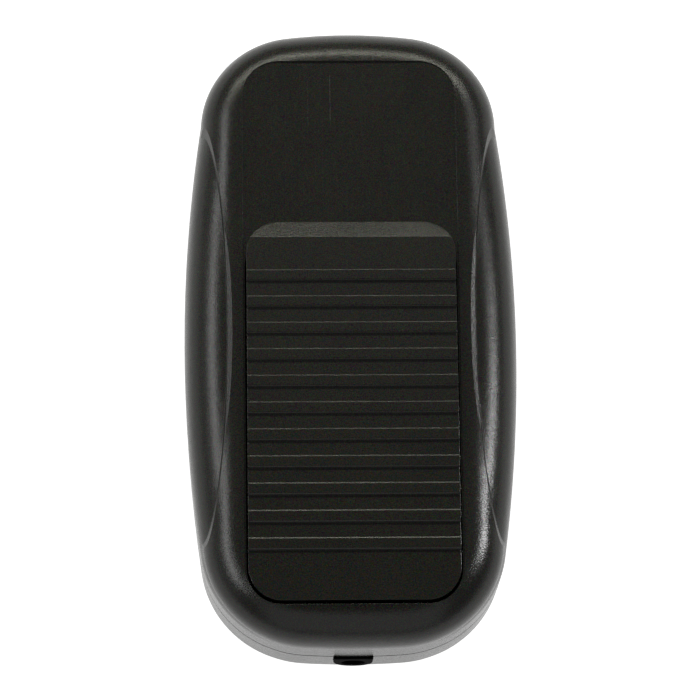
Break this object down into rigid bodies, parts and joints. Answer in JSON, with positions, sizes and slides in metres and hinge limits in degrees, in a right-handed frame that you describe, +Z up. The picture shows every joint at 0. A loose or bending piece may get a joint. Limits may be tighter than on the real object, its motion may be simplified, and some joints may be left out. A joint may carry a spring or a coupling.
{
  "type": "sustain pedal",
  "caption": "Compact foot switch pedal: rounded two-part case, ribbed treadle on a hinge pin, return spring, lever microswitch, cord gland and rubber feet.",
  "frame": {"origin": "on the floor under the middle of the case", "axes": "+X to the player's right, +Y towards the heel end, +Z up; the cord leaves towards -Y"},
  "size_m": [0.0724, 0.1402, 0.0306],
  "materials": {
    "case_plastic": "fine spark-eroded texture, satin",
    "treadle_plastic": "satin black with slightly worn rib edges",
    "pin_steel": "ground steel rod",
    "clip_plastic": "satin black",
    "spring_steel": "drawn spring wire",
    "stop_rubber": "soft matt rubber",
    "stop_felt": "dense dark felt",
    "switch_plastic": "moulded phenolic black",
    "plunger_plastic": "moulded red",
    "lever_steel": "thin stainless strip",
    "terminal_brass": "tinned brass tag",
    "gland_rubber": "matt black rubber",
    "screw_steel": "zinc plated",
    "foot_rubber": "matt black rubber"
  },
  "bodies": {
    "case": {"upper_case": "case_plastic", "base_case": "case_plastic", "hinge_pin": "pin_steel", "pin_cap_left": "clip_plastic", "pin_cap_right": "clip_plastic", "pin_cap_screws": "screw_steel", "return_spring": "spring_steel", "down_stop_pads": "stop_rubber", "up_stop_pads": "stop_felt", "switch_case": "switch_plastic", "switch_cover": "switch_plastic", "switch_terminals": "terminal_brass", "switch_screws": "screw_steel", "case_screws": "screw_steel", "foot_heel_left": "foot_rubber", "foot_heel_right": "foot_rubber", "foot_toe_left": "foot_rubber", "foot_toe_right": "foot_rubber", "cord_gland": "gland_rubber", "cord_clamp": "clip_plastic", "cord_clamp_screws": "screw_steel"},
    "treadle": {"treadle": "treadle_plastic"},
    "lever": {"switch_lever": "lever_steel"},
    "plunger": {"switch_plunger": "plunger_plastic"}
  },
  "joints": [
    {"name": "treadle_hinge", "type": "hinge", "parent": "case", "child": "treadle", "pos_m": [0, 0.015, 0.0175], "axis": [1, 0, 0], "range_deg": [0, 4.5], "stiffness_Nm_per_rad": 5, "deforming": ["return_spring"]},
    {"name": "lever_hinge", "type": "hinge", "parent": "case", "child": "lever", "pos_m": [0.0115, -0.0266, 0.0173], "axis": [-1, 0, 0], "range_deg": [0, 7.8]},
    {"name": "plunger_slide", "type": "slide", "parent": "case", "child": "plunger", "axis": [0, 0, -1], "range_m": [0, 0.0007]}
  ],
  "couplings": [
    {"joint": "lever_hinge", "follows": "treadle_hinge", "ratio": 1.67},
    {"joint": "plunger_slide", "follows": "treadle_hinge", "m_per_rad": 0.0086}
  ]
}
